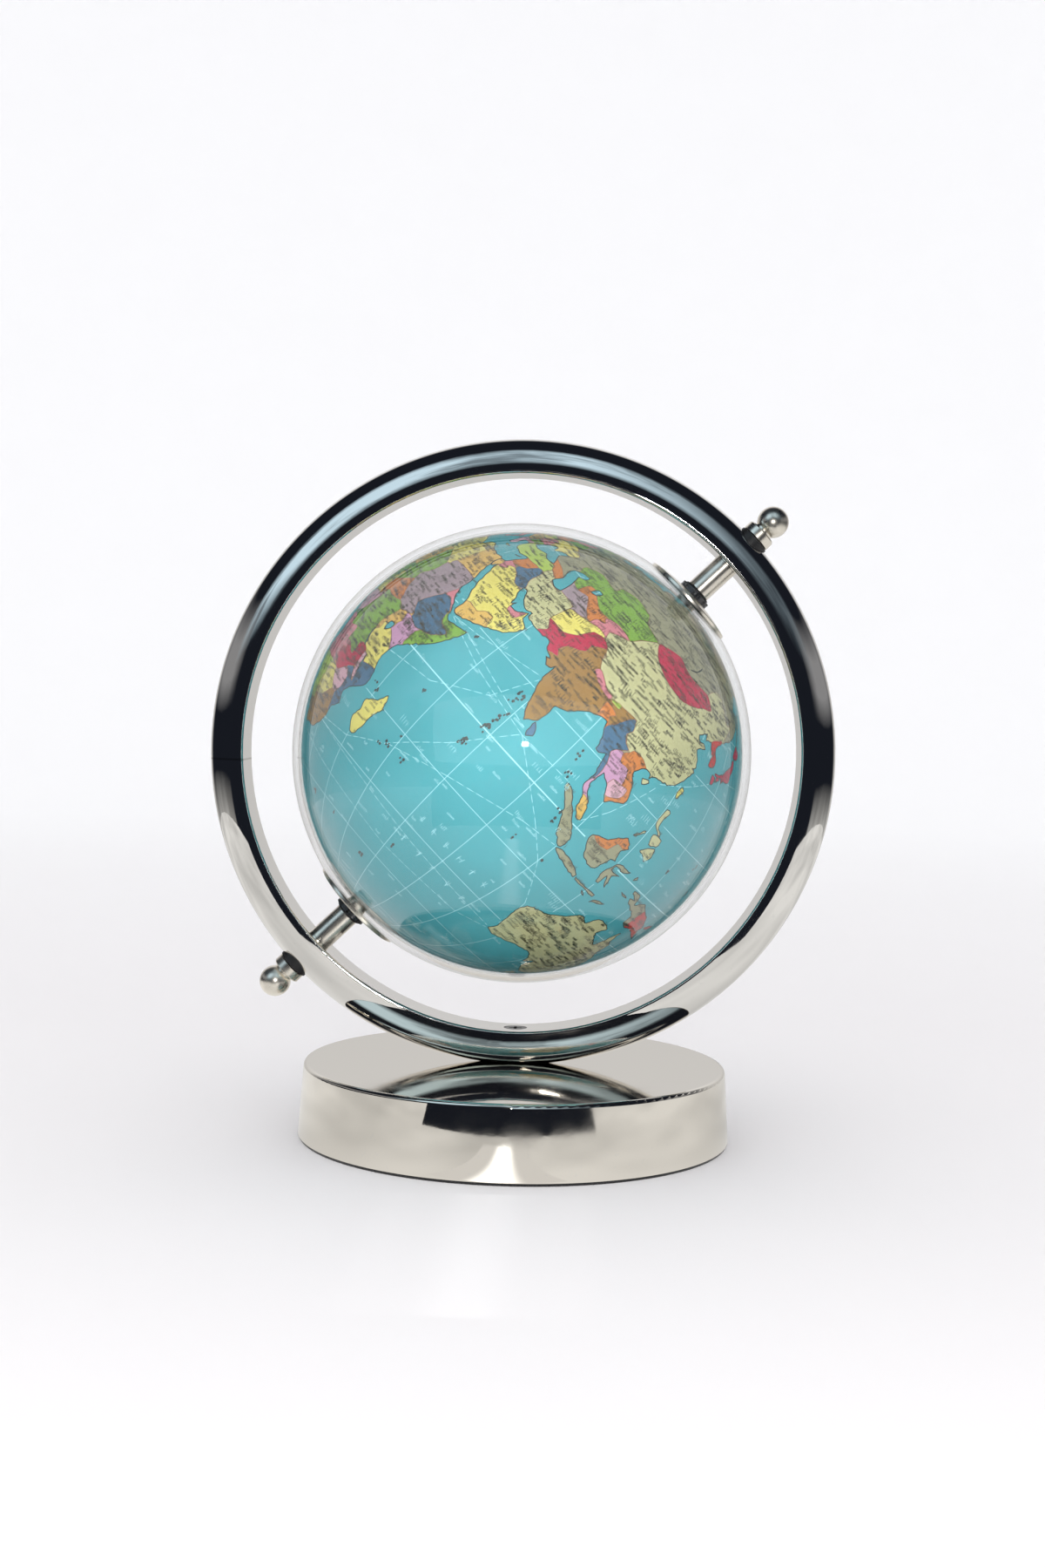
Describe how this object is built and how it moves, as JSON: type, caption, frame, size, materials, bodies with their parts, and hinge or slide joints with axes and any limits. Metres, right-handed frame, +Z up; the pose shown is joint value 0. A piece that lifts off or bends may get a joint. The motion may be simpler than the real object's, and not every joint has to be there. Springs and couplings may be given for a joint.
{
  "type": "desktop globe on stand",
  "caption": "Desktop globe in a clear shell, turning on a tilted axle held across an upright metal ring that stands on a round weighted base.",
  "frame": {"origin": "middle of the base's underside", "axes": "+Z up; the ring stands in the XZ plane, the front faces -Y, and the globe's north pole leans towards +X"},
  "size_m": [0.1738, 0.127, 0.1938],
  "materials": {
    "nickel": "polished bright nickel plate",
    "felt": "black felt",
    "cement": "cast filling",
    "steel": "zinc plated",
    "dark_screw": "black oxide",
    "dark_knurl": "dark nickel plate",
    "black_nylon": "black nylon",
    "brass": "turned",
    "clear_plastic": "clear polished acrylic",
    "ball_plastic": "moulded white plastic",
    "map_paper": "printed paper under gloss varnish"
  },
  "bodies": {
    "stand": {"base_felt": "felt", "base_shell": "nickel", "base_ballast": "cement", "ring": "nickel", "ring_screw": "dark_screw", "ring_washer": "steel", "ring_lock_washer": "steel", "ring_nut": "steel", "axle_rod": "steel", "north_finial": "nickel", "north_finial_saddle": "black_nylon", "north_sleeve": "nickel", "north_thrust_washer": "black_nylon", "south_finial": "nickel", "south_finial_saddle": "black_nylon", "south_sleeve": "nickel", "south_thrust_washer": "black_nylon"},
    "globe": {"north_bushing": "brass", "north_clear_shell": "clear_plastic", "north_gap_spacer": "black_nylon", "north_knurled_nut": "dark_knurl", "north_map_ball": "ball_plastic", "north_pole_cap": "nickel", "south_bushing": "brass", "south_clear_shell": "clear_plastic", "south_gap_spacer": "black_nylon", "south_knurled_nut": "dark_knurl", "south_map_ball": "ball_plastic", "south_pole_cap": "nickel", "map_gores": "map_paper"}
  },
  "joints": [
    {"name": "globe_spin", "type": "hinge", "parent": "stand", "child": "globe", "pos_m": [0, 0, 0.10691], "axis": [0.7193, 0, 0.6947], "continuous": true}
  ]
}
